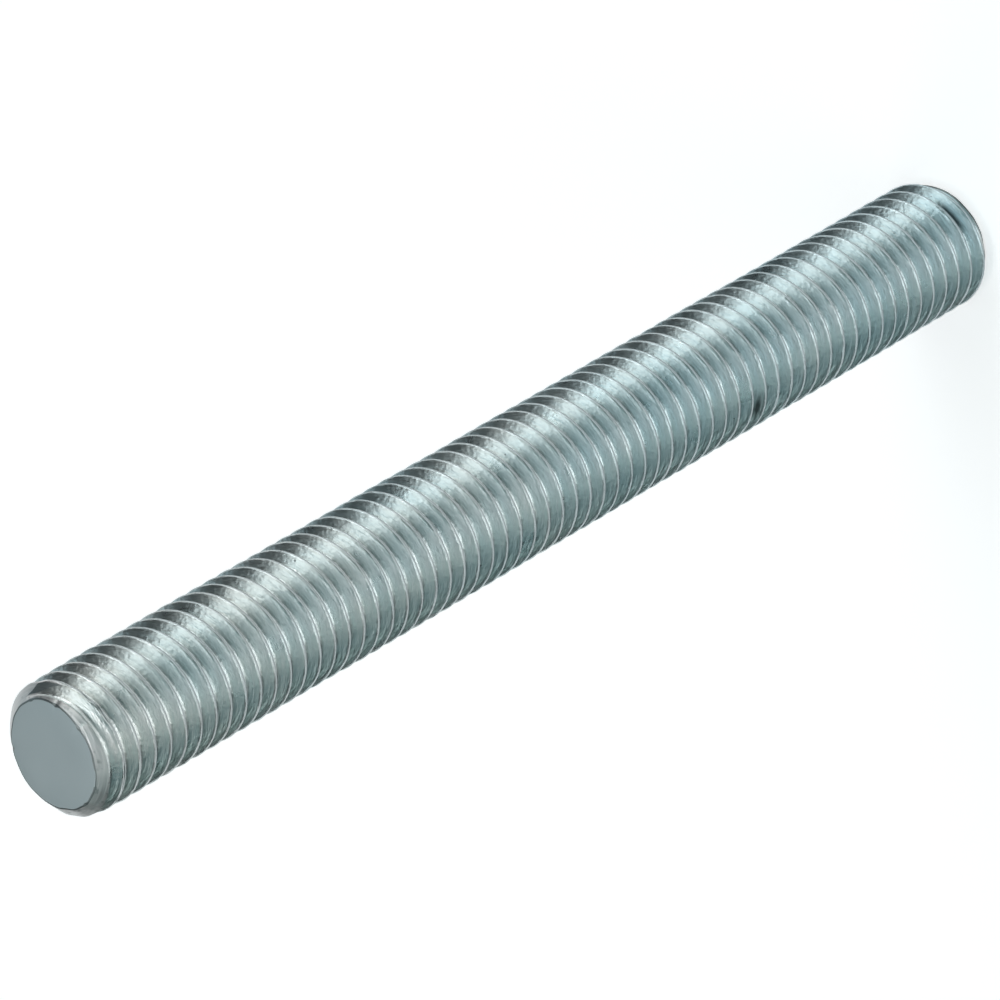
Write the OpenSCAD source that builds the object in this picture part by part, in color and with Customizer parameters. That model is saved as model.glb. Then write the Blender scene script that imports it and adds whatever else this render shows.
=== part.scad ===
// Threaded rod: one straight length of metric stud, threaded from end to end,
// with a bevelled, flat-cut end at each side.
// Frame: the centre of the lower end face is the origin, the rod runs up +Z.

/* [Rod] */
// overall length between the two cut faces
rod_length = 80; // [40:1:96]

/* [Thread] */
// nominal thread diameter
thread_d = 8; // [7:0.5:10]
// distance from one crest to the next
pitch = 1.25; // [1:0.05:1.5]
// how much smaller than nominal the rolled crests measure, on the diameter
crest_allowance = 0.12; // [0.04:0.02:0.3]
// angle between the two flanks of the groove
flank_angle = 60; // [55:1:64]
// where round the rod the thread passes the height of the lower face
start_angle = -54; // [-180:6:180]

/* [Ends] */
// how far the flat end face stays inside the root of the thread, on the radius
end_step = 0.1; // [0.05:0.05:0.6]
// slope of the bevel on each end, measured from the end face
bevel_angle = 45; // [35:1:55]

/* [Facets] */
// flats in one turn of the thread
turn_facets = 20; // [12:4:20]

/* [Hidden] */

crest_r = (thread_d - crest_allowance) / 2;
crest_flat = pitch / 8;
root_flat = pitch / 4;
thread_depth = (pitch - crest_flat - root_flat) / (2 * tan(flank_angle / 2));
root_r = crest_r - thread_depth;
end_r = root_r - end_step;
bevel_h = (crest_r - end_r) * tan(bevel_angle);

// the helix runs on past both ends before the bevelled blank trims it
spare_turns = 1.5;
turns = ceil(rod_length / pitch) + 2 * spare_turns;
steps = round(turns * turn_facets);
z_first = -spare_turns * pitch;

// one tooth, low side first: [height from the crest middle, radius]
tooth = [
  [-crest_flat / 2, crest_r],
  [crest_flat / 2, crest_r],
  [(pitch - root_flat) / 2, root_r],
  [(pitch + root_flat) / 2, root_r]
];
teeth = len(tooth);

function helix_point(i, k) =
  let (
    a = start_angle + 360 * (i / turn_facets - spare_turns),
    z = z_first + pitch * i / turn_facets + tooth[k][0],
    r = tooth[k][1]
  )
  [r * cos(a), r * sin(a), z];

function at(i, k) = k < teeth ? i * teeth + k : (i + turn_facets) * teeth;

module thread_blank() {
  last = steps - turn_facets;
  count = (steps + 1) * teeth;
  points = concat(
    [for (i = [0:steps]) for (k = [0:teeth - 1]) helix_point(i, k)],
    [[0, 0, z_first - pitch], [0, 0, z_first + pitch * (turns + 1)]]
  );
  // the skin between two neighbouring sections, tooth by tooth
  skin = [
    for (i = [0:steps - 1])
      for (k = [0:teeth - 1])
        if (k < teeth - 1 || i < last)
          each [
            [at(i, k), at(i + 1, k + 1), at(i + 1, k)],
            [at(i, k), at(i, k + 1), at(i + 1, k + 1)]
          ]
  ];
  // closing fans below the first turn and above the last
  low = concat(
    [for (i = [0:turn_facets - 1]) [count, at(i, 0), at(i + 1, 0)]],
    [for (k = [0:teeth - 1]) [count, at(0, k + 1), at(0, k)]]
  );
  high = concat(
    [for (i = [last:steps - 1]) [count + 1, at(i + 1, teeth - 1), at(i, teeth - 1)]],
    [for (k = [0:teeth - 2]) [count + 1, at(steps, k), at(steps, k + 1)]],
    [[count + 1, at(last, teeth - 1), at(steps, 0)]]
  );
  polyhedron(points = points, faces = concat(skin, low, high), convexity = 10);
}

module bevelled_blank() {
  reach = crest_r + 1;
  rise = bevel_h + tan(bevel_angle);
  rotate_extrude($fn = 96)
    polygon([
      [0, 0],
      [end_r, 0],
      [reach, rise],
      [reach, rod_length - rise],
      [end_r, rod_length],
      [0, rod_length]
    ]);
}

module rod() {
  color([0.62, 0.68, 0.7])
    intersection() {
      thread_blank();
      bevelled_blank();
    }
}

rod();
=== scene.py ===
import bpy
import math
from types import SimpleNamespace
import numpy as np
from mathutils import Matrix, Vector


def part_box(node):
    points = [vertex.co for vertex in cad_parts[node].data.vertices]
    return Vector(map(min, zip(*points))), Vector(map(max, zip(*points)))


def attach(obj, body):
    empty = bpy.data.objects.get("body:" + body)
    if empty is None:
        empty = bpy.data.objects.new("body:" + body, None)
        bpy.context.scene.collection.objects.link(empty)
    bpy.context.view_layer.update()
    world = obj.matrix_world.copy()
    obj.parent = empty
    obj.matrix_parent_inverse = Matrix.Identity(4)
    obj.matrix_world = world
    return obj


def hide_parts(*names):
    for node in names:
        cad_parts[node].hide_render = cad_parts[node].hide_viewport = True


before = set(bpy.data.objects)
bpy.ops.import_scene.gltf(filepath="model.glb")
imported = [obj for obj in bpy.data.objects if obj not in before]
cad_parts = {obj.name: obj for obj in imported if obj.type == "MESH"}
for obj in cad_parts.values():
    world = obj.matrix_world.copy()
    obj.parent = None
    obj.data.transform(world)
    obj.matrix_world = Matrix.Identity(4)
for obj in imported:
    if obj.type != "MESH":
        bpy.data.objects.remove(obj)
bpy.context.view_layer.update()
scene = bpy.context.scene

# ---------------------------------------------------------------- sizes, in metres
MM = 0.001
LO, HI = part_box("rod")
R = min(HI.x - LO.x, HI.y - LO.y) / 2
Z0, Z1 = LO.z, HI.z
LENGTH = Z1 - Z0
PITCH = 1.25 * MM
FLANK = math.radians(30)          # between a flank and the plane across the rod
CREST_ROUND = 0.16 * MM           # radius of the rounded crest
START = math.radians(-54.0)       # where round the rod the crest passes the lower face
END_R = 3.163 * MM                # radius of the flat end faces
NEAR_END_R = END_R - 0.06 * MM    # the same for the upper end, whose bevel is a little wider
LEAN = (0.050, 0.060)             # the upper end is cut a little out of square: fall towards +X and +Y
LEAN_FALL = math.hypot(*LEAN) * END_R
BLANK_R = 5.4 * MM                # where the cones of the trimming blank end, well outside the thread

# ---------------------------------------------------------------- fineness of the mesh
COLS = 96                         # columns in one turn of the thread
SPARE = 1.5                       # turns past each end, cut off by the blank
RIM_COLS = 240                    # columns round the blank
SHARP = math.radians(38)          # edges steeper than this stay sharp in the shading

# ---------------------------------------------------------------- marks on the rod
# Laps in the thread, grooves with near-black painted shade in them: crest number from the lower face,
# degrees round the rod, half length in degrees, pitches below that crest, half width of the painted shade in
# pitches, depth of the groove.
LAPS = [(2, -75, 19, 0.68, 0.073, 0.10 * MM),
        (19, -147, 13, 0.80, 0.09, 0.05 * MM),
        (60, -158, 3, 0.85, 0.09, 0.04 * MM)]
GROOVE = 0.096                    # half width of each lap's groove, in pitches
# Nicks in the edge of an end face: radians round it, depth in mm.
NICKS = [(1.1, 0.10), (3.3, 0.06), (4.9, 0.07), (5.5, 0.09), (6.1, 0.05)]
NICK_SPREAD = 0.045               # in radians


# ---------------------------------------------------------------- small helpers
def wave_noise(seed, count, lo, hi):
    """A smooth, seeded noise over (angle, height): a sum of plane waves that closes round the rod."""
    draw = np.random.default_rng(seed)
    rounds = draw.integers(lo, hi + 1, count)
    rises = draw.normal(0, 1, count) * (lo + hi) / 2 / R
    phases = draw.uniform(0, 2 * math.pi, count)
    sizes = draw.uniform(0.5, 1, count)
    sizes /= math.sqrt((sizes ** 2).sum() / 2)

    def noise(angle, height):
        out = np.zeros(np.broadcast(angle, height).shape)
        for around, rise, phase, size in zip(rounds, rises, phases, sizes):
            out += size * np.cos(around * angle + rise * height + phase)
        return out
    return noise


def new_object(name, verts, faces):
    mesh = bpy.data.meshes.new(name)
    mesh.from_pydata([tuple(v) for v in verts], [], faces)
    mesh.update()
    made = bpy.data.objects.new(name, mesh)
    scene.collection.objects.link(made)
    return made


# ---------------------------------------------------------------- the thread
def tooth_profile():
    """The thread's section from one crest to the next: height above the first, depth below the crest."""
    crest_land, root_land = PITCH / 8, PITCH / 4
    depth = (PITCH - crest_land - root_land) / (2 * math.tan(FLANK))
    # the arc in the root meets the flank that leaves the arc of the crest
    root_round = PITCH / 2 / math.tan(FLANK) - depth - CREST_ROUND
    crest = [(CREST_ROUND * math.sin(t), CREST_ROUND * (1 - math.cos(t)))
             for t in map(math.radians, (0, 20, 40, 60))]
    root = [(PITCH / 2 - root_round * math.sin(t), depth - root_round * (1 - math.cos(t)))
            for t in map(math.radians, (60, 30))]
    middle = ((crest[-1][0] + root[0][0]) / 2, (crest[-1][1] + root[0][1]) / 2)
    half = crest + [middle] + root
    return half + [(PITCH / 2, depth)] + [(PITCH - z, d) for z, d in reversed(half[1:])]


PROFILE = tooth_profile()
ROWS = len(PROFILE)
RISE = np.array([z for z, d in PROFILE])
DEPTH = np.array([d for z, d in PROFILE])
SLOW_WAVES = wave_noise(3, 24, 1, 7)
MIDDLE_WAVES = wave_noise(5, 40, 8, 24)
FINE_WAVES = wave_noise(8, 60, 30, 46)
WORN_WAVES = wave_noise(9, 40, 4, 20)


def crest_wear(angle, height, crestness):
    """How far the crests are worn down, a little everywhere and more in patches."""
    everywhere, in_patches, patch_from = 0.010 * MM, 0.006 * MM, 1.1
    wear = everywhere * (1 + 0.8 * SLOW_WAVES(angle, height)) * crestness
    wear += in_patches * np.clip(WORN_WAVES(angle, height) - patch_from, 0, 2) * crestness
    return np.clip(wear, 0, None)


def uneven_first_turns(angle, height, crestness):
    """The first turns from the upper end were not rolled up fully: a seam runs along their crest."""
    middle, reach = 1.1, 1.3              # in pitches from the upper face
    seam_depth, seam_spread, low_crest = 0.060 * MM, 0.05 * MM, 0.022
    seam = np.clip(1 - np.abs((Z1 - height) / PITCH - middle) / reach, 0, 1)
    off_crest = (RISE + PITCH / 2) % PITCH - PITCH / 2
    across = np.exp(-(off_crest / seam_spread) ** 2)[None, :]
    sunk = seam * seam_depth * across * (1 + 0.35 * MIDDLE_WAVES(angle, height))
    sunk += seam * low_crest * MM * crestness * (1 + WORN_WAVES(angle, height))
    return np.clip(sunk, 0, None)


def rolled_surface(angle, height):
    """Roughness from rolling, less the grooves of the laps: positive is outwards."""
    middle_size, fine_size = 0.0028, 0.0012       # in mm
    rough = (middle_size * MIDDLE_WAVES(angle, height) + fine_size * FINE_WAVES(angle, height)) * MM
    for crest, around, half_length, below, _, sink in LAPS:
        middle = 2 * math.pi * (crest - 1) + math.radians(around)
        along = np.exp(-np.clip((angle - middle) / math.radians(half_length), -3, 3) ** 6)
        across = np.exp(-(((PITCH - RISE) / PITCH - below) / GROOVE) ** 2)[None, :]
        rough -= sink * along * across
    return rough


def thread_radius(angle, height):
    """Distance from the axis at each point of the mesh, always inside the solid's box."""
    inset, least_inset = 0.002 * MM, 0.0005 * MM
    crestness = np.clip(1 - DEPTH / CREST_ROUND, 0, 1)[None, :]
    radius = (R - inset - DEPTH[None, :] - crest_wear(angle, height, crestness)
              + rolled_surface(angle, height) - uneven_first_turns(angle, height, crestness))
    return np.minimum(radius, R - least_inset)


def thread_faces(steps, low_tip, high_tip):
    """Quads along the helix, and fans to the two tips that close it below and above the rod."""
    last = steps - COLS

    def at(step, row):
        """The row after the last one is the first row of the next turn."""
        return step * ROWS + row if row < ROWS else (step + COLS) * ROWS

    faces = []
    for step in range(steps):
        for row in range(ROWS):
            if row < ROWS - 1 or step < last:
                faces.append((at(step, row), at(step + 1, row), at(step + 1, row + 1), at(step, row + 1)))
    faces += [(low_tip, at(step + 1, 0), at(step, 0)) for step in range(COLS)]
    faces += [(low_tip, at(0, row), at(0, row + 1)) for row in range(ROWS)]
    faces += [(high_tip, at(step, ROWS - 1), at(step + 1, ROWS - 1)) for step in range(last, steps)]
    faces += [(high_tip, at(steps, row + 1), at(steps, row)) for row in range(ROWS - 1)]
    faces.append((high_tip, at(steps, 0), at(last, ROWS - 1)))
    return faces


def long_thread():
    """One closed mesh along the helix, longer than the rod at both ends."""
    steps = round((math.ceil(LENGTH / PITCH) + 2 * SPARE) * COLS)
    turns = np.arange(steps + 1) / COLS - SPARE
    base = Z0 + PITCH * turns
    angle = (START + 2 * math.pi * turns)[:, None] + 0 * RISE[None, :]
    height = base[:, None] + RISE[None, :]
    radius = thread_radius(angle, height)
    verts = np.stack([radius * np.cos(angle), radius * np.sin(angle), height], axis=2).reshape(-1, 3)
    count = len(verts)
    tips = [[0, 0, base[0] - 2 * PITCH], [0, 0, base[-1] + 2 * PITCH]]
    return new_object("rod_thread", np.vstack([verts, tips]), thread_faces(steps, count, count + 1))


# ---------------------------------------------------------------- the bevelled blank that trims it
RIM = np.linspace(0, 2 * math.pi, RIM_COLS, endpoint=False)
RIM_SLOW = wave_noise(21, 8, 1, 3)
RIM_MIDDLE = wave_noise(22, 30, 5, 18)


def nick_depth(seed):
    """Depth of the nicks round the edge of one end face."""
    depth = np.zeros(RIM_COLS)
    for where, size in NICKS:
        aside = (RIM - where - seed + math.pi) % (2 * math.pi) - math.pi
        depth = depth + size * MM * np.exp(-(aside / NICK_SPREAD) ** 2)
    return depth


def end_rings(seed, mean, lean):
    """Rings from the face outwards, each (radius, depth below the highest point), and the centre's depth."""
    flat = np.zeros(RIM_COLS)
    face = mean + 0.030 * MM * RIM_SLOW(RIM + seed, flat) + 0.012 * MM * RIM_MIDDLE(RIM + seed, flat)
    nick = nick_depth(seed)
    edge_out, edge_in = 0.05 * MM, 0.042 * MM     # the rounded edge, before the cone starts
    rings = [(face * 0.5, flat),
             (face - edge_out - nick, flat),
             (face - 0.01 * MM - nick * 0.6, flat + 0.010 * MM + 0.3 * nick),
             (face + edge_out, flat + edge_in + 0.5 * nick)]
    slope = 1.0 + 0.05 * RIM_SLOW(RIM + seed + 1.7, flat)
    for part in (0.33, 0.66, 1.0):
        radius = face + (BLANK_R - face) * part
        chatter = 0.012 * MM * RIM_MIDDLE(RIM + seed + 3 * part, flat) * (part < 1)
        rings.append((radius, edge_in + (radius - face - edge_out) * slope + chatter))
    fall = lean[0] * np.cos(RIM) + lean[1] * np.sin(RIM)
    rings = [(radius, depth + radius * fall) for radius, depth in rings]
    highest = min(depth.min() for _, depth in rings)
    return [(radius, depth - highest) for radius, depth in rings], -highest


def trimming_blank():
    """The outside of the rod without its thread: two end faces with their bevels."""
    upper, centre = end_rings(0.0, NEAR_END_R, LEAN)
    lower, _ = end_rings(2.0, END_R, (0.0, 0.0))
    verts = [(0.0, 0.0, Z1 - centre)]
    rows = []
    for radius, height in ([(radius, Z1 - depth) for radius, depth in upper]
                           + [(radius, Z0 + depth) for radius, depth in reversed(lower)]):
        rows.append(len(verts))
        verts += zip(radius * np.cos(RIM), radius * np.sin(RIM), height)
    verts.append((0.0, 0.0, Z0))
    faces = []
    for j in range(RIM_COLS):
        after = (j + 1) % RIM_COLS
        faces.append((0, rows[0] + j, rows[0] + after))
        faces += [(a + j, b + j, b + after, a + after) for a, b in zip(rows[:-1], rows[1:])]
        faces.append((len(verts) - 1, rows[-1] + after, rows[-1] + j))
    return new_object("blank", verts, faces)


rod = long_thread()
blank = trimming_blank()
trim = rod.modifiers.new("trim", "BOOLEAN")
trim.operation = "INTERSECT"
trim.solver = "MANIFOLD"
trim.object = blank
trimmed = bpy.data.meshes.new_from_object(rod.evaluated_get(bpy.context.evaluated_depsgraph_get()))
rod.modifiers.clear()
rod.data = trimmed
bpy.data.objects.remove(blank)
trimmed.shade_smooth()
trimmed.set_sharp_from_angle(angle=SHARP)


# ---------------------------------------------------------------- materials
class Nodes:
    """Short names for the nodes of one material. Inputs are given by name, or by number as i0, i1, ..."""

    def __init__(self, name):
        self.mat = bpy.data.materials.new(name)
        self.mat.use_nodes = True
        self.tree = self.mat.node_tree
        self.tree.nodes.clear()
        self.out = self.tree.nodes.new("ShaderNodeOutputMaterial")

    def put(self, node, key, value):
        by_number = key[0] == "i" and key[1:].isdigit()
        socket = node.inputs[int(key[1:])] if by_number else node.inputs[key.replace("_", " ")]
        if isinstance(value, bpy.types.NodeSocket):
            self.tree.links.new(value, socket)
        else:
            socket.default_value = value

    def new(self, kind, **inputs):
        node = self.tree.nodes.new(kind)
        for key, value in inputs.items():
            self.put(node, key, value)
        return node

    def math(self, op, a, b=0.0, c=None, clamp=False):
        node = self.new("ShaderNodeMath", i0=a, i1=b)
        node.operation = op
        node.use_clamp = clamp
        if c is not None:
            self.put(node, "i2", c)
        return node.outputs[0]

    def ramp(self, value, slope, offset):
        """value * slope + offset, kept between 0 and 1."""
        return self.math("MULTIPLY_ADD", value, slope, offset, clamp=True)

    def mix(self, part, a, b, kind="MIX"):
        node = self.tree.nodes.new("ShaderNodeMix")
        node.data_type = "RGBA"
        node.blend_type = kind
        for key, value in (("i0", part), ("i6", a), ("i7", b)):
            self.put(node, key, value)
        return node.outputs[2]

    def noise(self, vector, scale, detail, roughness):
        return self.new("ShaderNodeTexNoise", Vector=vector, Scale=scale, Detail=detail,
                        Roughness=roughness).outputs[0]

    def bump(self, height, strength, distance):
        return self.new("ShaderNodeBump", Height=height, Strength=strength, Distance=distance).outputs[0]

    def finish(self, shader):
        self.tree.links.new(shader, self.out.inputs[0])
        return self.mat


def place_on_rod(g):
    """Coordinates that follow the rod and its thread, and the noises that its surfaces share."""
    at = SimpleNamespace()
    at.point = g.new("ShaderNodeTexCoord").outputs["Object"]
    at.x, at.y, at.z = g.new("ShaderNodeSeparateXYZ", i0=at.point).outputs
    at.radius = g.math("SQRT", g.math("ADD", g.math("MULTIPLY", at.x, at.x), g.math("MULTIPLY", at.y, at.y)))
    at.turn = g.math("DIVIDE", g.math("ARCTAN2", at.y, at.x), 2 * math.pi)
    at.up = g.math("SUBTRACT", at.z, Z0)
    # pitches along the helix: a whole number on each crest line, counted from the lower face
    rise = g.math("DIVIDE", at.up, PITCH)
    at.lead = g.math("SUBTRACT", rise, g.math("SUBTRACT", at.turn, START / (2 * math.pi)))
    at.crest = g.math("ROUND", at.lead)
    at.coarse = g.noise(at.point, 520.0, 3.0, 0.55)
    at.fine = g.noise(at.point, 3900.0, 1.0, 0.4)
    at.patch = g.noise(at.point, 170.0, 2.0, 0.5)
    return at


def rolled_grain(g, at):
    """Noise that is stretched along the thread, the way the metal was rolled."""
    along = g.math("MULTIPLY", g.math("ADD", at.turn, at.crest), 26.0)
    across = g.math("MULTIPLY", g.math("SUBTRACT", at.lead, at.crest), 14.0)
    inwards = g.math("MULTIPLY", at.radius, 2600.0)
    return g.noise(g.new("ShaderNodeCombineXYZ", i0=along, i1=across, i2=inwards).outputs[0], 1.0, 3.0, 0.6)


def dark_specks(g, at):
    """1 inside the small dot that some of the cells have, 0 elsewhere."""
    cells = g.new("ShaderNodeTexVoronoi", Vector=at.point, Scale=1100.0, Randomness=1.0)
    pick = g.new("ShaderNodeSeparateColor", i0=cells.outputs["Color"])
    dot = g.math("LESS_THAN", cells.outputs["Distance"], g.math("MULTIPLY_ADD", pick.outputs[1], 0.05, 0.03))
    return g.math("MULTIPLY", dot, g.math("GREATER_THAN", pick.outputs[0], 0.62))


def passivation(g, at):
    """The plate's tint: mottled, bluer in patches, and shifting from the lower end to the upper one."""
    tint = g.mix(g.ramp(at.coarse, 1.6, -0.3), (0.53, 0.60, 0.615, 1), (0.66, 0.70, 0.70, 1))
    tint = g.mix(g.ramp(at.patch, 2.2, -0.8), tint, (0.50, 0.61, 0.64, 1))
    end_to_end = g.mix(g.math("DIVIDE", at.up, LENGTH), (0.93, 1.00, 1.02, 1), (1.03, 1.00, 0.97, 1))
    return g.mix(1.0, tint, end_to_end, kind="MULTIPLY")


def lap_painted_shade(g, at, crest, around, half_length, below, half_width):
    """1 in the middle of a lap, fading to 0 over its edges and ends: where near-black shade is painted into
    the lap's groove.
    """
    fade = 0.04                       # of a turn
    behind = g.math("ABSOLUTE", g.math("SUBTRACT", at.lead, crest - below))
    aside = g.math("ABSOLUTE", g.math("SUBTRACT", at.turn, around / 360))
    across = g.ramp(behind, -1 / half_width, 1.3)
    return g.math("MULTIPLY", across, g.ramp(aside, -1 / fade, half_length / 360 / fade + 0.35))


def plated_thread(g, at):
    """Bright zinc plate with rolled grain, specks, crest tops made rougher and darkened with painted shade,
    and laps with painted shade in their grooves.
    """
    specks = dark_specks(g, at)
    off_top = g.math("ABSOLUTE", g.math("SUBTRACT", at.lead, g.math("SUBTRACT", at.crest, 0.02)))
    crest_shade_and_dull = g.ramp(off_top, -10.0, 1.1)
    base = g.mix(g.math("MULTIPLY", specks, 0.72), passivation(g, at), (0.10, 0.12, 0.13, 1))
    # painted shade: the crest tops are darkened to stand in for the dark surroundings they reflect; the same
    # mask also makes them a little rougher
    base = g.mix(g.math("MULTIPLY", crest_shade_and_dull, 0.72), base, (0.24, 0.27, 0.28, 1))
    for crest, around, half_length, below, half_width, _ in LAPS:
        lap_shade = lap_painted_shade(g, at, crest, around, half_length, below, half_width)
        # painted shade: near-black in the lap's groove, where the gap lies in shadow
        base = g.mix(g.math("MULTIPLY", lap_shade, 0.88), base, (0.03, 0.04, 0.04, 1))
    relief = g.math("ADD", g.math("MULTIPLY", rolled_grain(g, at), 0.45), g.math("MULTIPLY", specks, -0.9))
    relief = g.math("ADD", g.math("MULTIPLY", at.fine, 0.22), relief)
    rough = g.math("ADD", g.math("MULTIPLY_ADD", at.coarse, 0.16, 0.22), g.math("MULTIPLY", crest_shade_and_dull, 0.08))
    return g.new("ShaderNodeBsdfPrincipled", Base_Color=base, Metallic=1.0, Roughness=rough,
                 Normal=g.bump(relief, 1.0, 0.08 * MM)).outputs[0]


def turned_bevel(g, at, edge_shade):
    """The bare bevel with the tool's marks round it, small nicks, and a dark line of painted shade at its
    inner rim, where the rounded edge meets the face.
    """
    marks = g.new("ShaderNodeCombineXYZ", i0=g.math("MULTIPLY", at.turn, 9.0),
                  i1=g.math("MULTIPLY", at.radius, 9000.0)).outputs[0]
    turned = g.noise(marks, 1.0, 2.0, 0.6)
    nicks = g.ramp(g.noise(at.point, 1500.0, 2.0, 0.6), 9.0, -5.4)
    tint = g.mix(g.ramp(turned, 1.6, -0.3), (0.48, 0.50, 0.50, 1), (0.72, 0.715, 0.71, 1))
    # painted shade: a dark line along the rounded edge between bevel and end face
    dark = g.math("MAXIMUM", g.math("MULTIPLY", edge_shade, 0.85), g.math("MULTIPLY", nicks, 0.6))
    tint = g.mix(dark, tint, (0.13, 0.16, 0.165, 1))
    return g.new("ShaderNodeBsdfPrincipled", Base_Color=tint, Metallic=0.9, Roughness=0.40,
                 Normal=g.bump(turned, 0.5, 0.04 * MM)).outputs[0]


def sawn_face(g, at):
    """The dull end face."""
    tint = g.mix(g.ramp(at.patch, 1.8, -0.5), (0.43, 0.505, 0.53, 1), (0.50, 0.57, 0.59, 1))
    return g.new("ShaderNodeBsdfPrincipled", Base_Color=tint, Metallic=0.25, Roughness=0.58,
                 Normal=g.bump(at.fine, 0.25, 0.02 * MM)).outputs[0]


def cut_at_the_ends(g, at):
    """1 on the end faces and their bevels, 0 on the thread."""
    slack, blend = 0.09 * MM, 0.02 * MM
    fall = g.math("MULTIPLY_ADD", at.x, LEAN[0], g.math("MULTIPLY_ADD", at.y, LEAN[1], LEAN_FALL))
    below_top = g.math("SUBTRACT", g.math("SUBTRACT", Z1, at.z), fall)
    from_end = g.math("MINIMUM", at.up, below_top)
    cone = g.math("MAXIMUM", g.math("SUBTRACT", at.radius, NEAR_END_R), 0.0)
    past_cone = g.math("SUBTRACT", g.math("SUBTRACT", from_end, cone), slack)
    return g.math("MULTIPLY", past_cone, -1 / blend, clamp=True)


def zinc_rod():
    """The thread's plate, with the bevels and the end faces where the rod was cut."""
    g = Nodes("zinc_plate")
    at = place_on_rod(g)
    flat_from, edge_shade_from = 0.985, 0.82     # how steeply a surface faces along the rod
    facing = g.new("ShaderNodeVectorTransform", i0=g.new("ShaderNodeNewGeometry").outputs["True Normal"])
    steep = g.math("ABSOLUTE", g.new("ShaderNodeSeparateXYZ", i0=facing.outputs[0]).outputs[2])
    flat = g.math("GREATER_THAN", steep, flat_from)
    # the rounded edge of each end face, where a line of shade is painted
    edge_shade = g.math("MULTIPLY", g.math("GREATER_THAN", steep, edge_shade_from), g.math("SUBTRACT", 1.0, flat))
    ends = g.new("ShaderNodeMixShader", i0=flat, i1=turned_bevel(g, at, edge_shade), i2=sawn_face(g, at))
    whole = g.new("ShaderNodeMixShader", i0=cut_at_the_ends(g, at), i1=plated_thread(g, at),
                  i2=ends.outputs[0])
    return g.finish(whole.outputs[0])


def pale_floor():
    """White where the camera, metal or glass sees it, and plain pale to all other light."""
    g = Nodes("pale_floor")
    path = g.new("ShaderNodeLightPath")
    seen = g.math("MAXIMUM", path.outputs["Is Glossy Ray"], path.outputs["Is Transmission Ray"])
    seen = g.math("MAXIMUM", path.outputs["Is Camera Ray"], seen)
    body = g.new("ShaderNodeBsdfDiffuse", Color=(0.80, 0.81, 0.82, 1)).outputs[0]
    glow = g.new("ShaderNodeEmission", Color=(1, 1, 1, 1), Strength=0.52).outputs[0]
    both = g.new("ShaderNodeAddShader", i0=body, i1=glow).outputs[0]
    return g.finish(g.new("ShaderNodeMixShader", i0=seen, i1=body, i2=both).outputs[0])


# the trimming leaves an empty material slot behind
rod.data.materials.clear()
rod.data.materials.append(zinc_rod())
for face in rod.data.polygons:
    face.material_index = 0
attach(rod, "root")
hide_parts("rod")

# ---------------------------------------------------------------- floor
FLOOR_SIDE = 3.0
corners = [(-FLOOR_SIDE, -FLOOR_SIDE, Z0), (FLOOR_SIDE, -FLOOR_SIDE, Z0),
           (FLOOR_SIDE, FLOOR_SIDE, Z0), (-FLOOR_SIDE, FLOOR_SIDE, Z0)]
floor = new_object("floor", corners, [(0, 1, 2, 3)])
floor.data.materials.append(pale_floor())

# ---------------------------------------------------------------- camera
LENS, SENSOR = 337.7628, 36.0         # in millimetres, as Blender takes them
EYE = Vector((0.0, -0.370611, Z0 + 0.405717))
AIM = Vector((-0.00044, 0.71357, -0.70059)).normalized()
PICTURE_UP = Vector((0.86452, -0.35184, -0.3589))
lens = bpy.data.cameras.new("camera")
lens.sensor_width = SENSOR
lens.lens = LENS
lens.clip_start, lens.clip_end = 0.01, 10
camera = bpy.data.objects.new("camera", lens)
scene.collection.objects.link(camera)
up = (PICTURE_UP - AIM * PICTURE_UP.dot(AIM)).normalized()
right = AIM.cross(up).normalized()
camera.matrix_world = Matrix((*((right[k], up[k], -AIM[k], EYE[k]) for k in range(3)), (0, 0, 0, 1)))
scene.camera = camera

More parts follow.
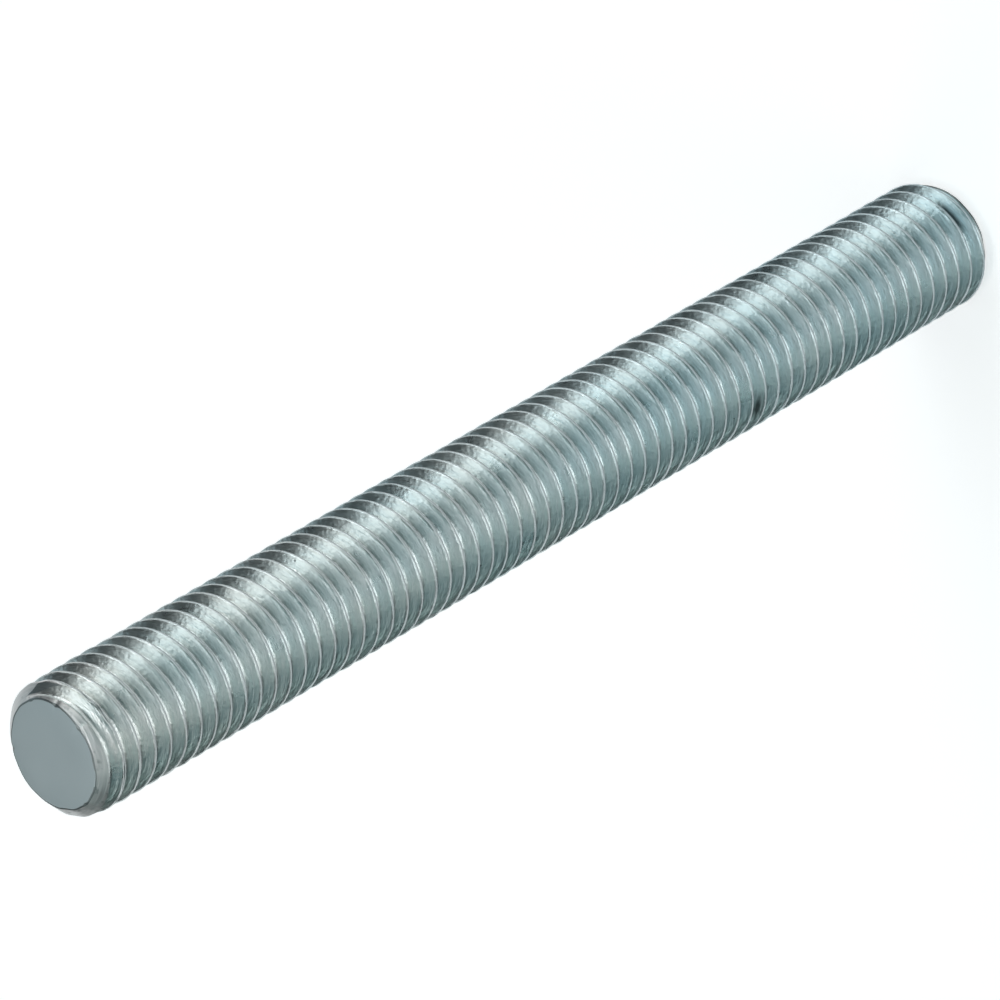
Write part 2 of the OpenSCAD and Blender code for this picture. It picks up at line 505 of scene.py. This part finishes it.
# ---------------------------------------------------------------- light
# A studio of soft panels, written as soft round patches of the world: degrees round from the camera side
# towards +X, degrees up, strength, colour, tightness. The values come from a least-squares fit to the
# brightness across the rod, and were then rounded.
PANELS = [
    (68, 2, 6.76, (0.99, 1.00, 1.01), 46),
    (90, 84, 4.17, (1.01, 1.00, 1.00), 46),
    (-17, 1, 2.54, (0.98, 1.00, 1.01), 46),
    (-145, 56, 2.44, (1.00, 1.00, 1.00), 46),
    (-37, 6, 2.03, (0.99, 1.01, 0.99), 46),
    (78, 57, 1.94, (0.95, 1.01, 1.03), 46),
    (48, 8, 1.70, (0.97, 1.01, 0.98), 46),
    (65, 43, 1.63, (1.01, 1.00, 0.94), 46),
    (-25, 15, 1.48, (0.98, 1.00, 1.01), 46),
    (-45, 21, 1.48, (0.95, 1.02, 0.99), 46),
    (145, 18, 1.32, (0.85, 1.04, 1.11), 46),
    (-80, 71, 0.79, (1.04, 0.99, 0.98), 46),
    (-72, 44, 0.73, (0.82, 1.05, 1.01), 46),
    (-137, 36, 0.59, (0.75, 1.07, 1.01), 46),
    (-27, 66, 0.42, (1.14, 0.96, 1.01), 46),
    (0, 60, 0.32, (0.70, 1.11, 1.13), 7),
    (-105, 40, 0.29, (0.70, 1.08, 1.13), 46),
    (-132, 79, 0.06, (1.07, 0.98, 1.00), 46),
]


def studio_light():
    """A world that is the sum of the panels, each exp(tightness * (cosine off its middle - 1))."""
    world = bpy.data.worlds.new("studio")
    scene.world = world
    world.use_nodes = True
    tree = world.node_tree
    tree.nodes.clear()
    out = tree.nodes.new("ShaderNodeOutputWorld")
    back = tree.nodes.new("ShaderNodeBackground")
    tree.links.new(back.outputs[0], out.inputs[0])
    look = tree.nodes.new("ShaderNodeTexCoord").outputs["Generated"]

    def node(kind, op, *values):
        made = tree.nodes.new(kind)
        made.operation = op
        for socket, value in zip(made.inputs, values):
            if isinstance(value, bpy.types.NodeSocket):
                tree.links.new(value, socket)
            else:
                socket.default_value = value
        return made

    total = (0.0, 0.0, 0.0)
    for around, high, strength, tint, tight in PANELS:
        a, h = math.radians(around), math.radians(high)
        towards = (math.sin(a) * math.cos(h), -math.cos(a) * math.cos(h), math.sin(h))
        cosine = node("ShaderNodeVectorMath", "DOT_PRODUCT", look, towards).outputs["Value"]
        near = node("ShaderNodeMath", "MULTIPLY_ADD", cosine, tight, -tight).outputs[0]
        patch = node("ShaderNodeMath", "EXPONENT", near).outputs[0]
        panel = node("ShaderNodeVectorMath", "SCALE", tuple(strength * c for c in tint))
        tree.links.new(patch, panel.inputs["Scale"])
        total = node("ShaderNodeVectorMath", "ADD", total, panel.outputs[0]).outputs[0]
    tree.links.new(total, back.inputs[0])


studio_light()

scene.view_settings.view_transform = "Standard"
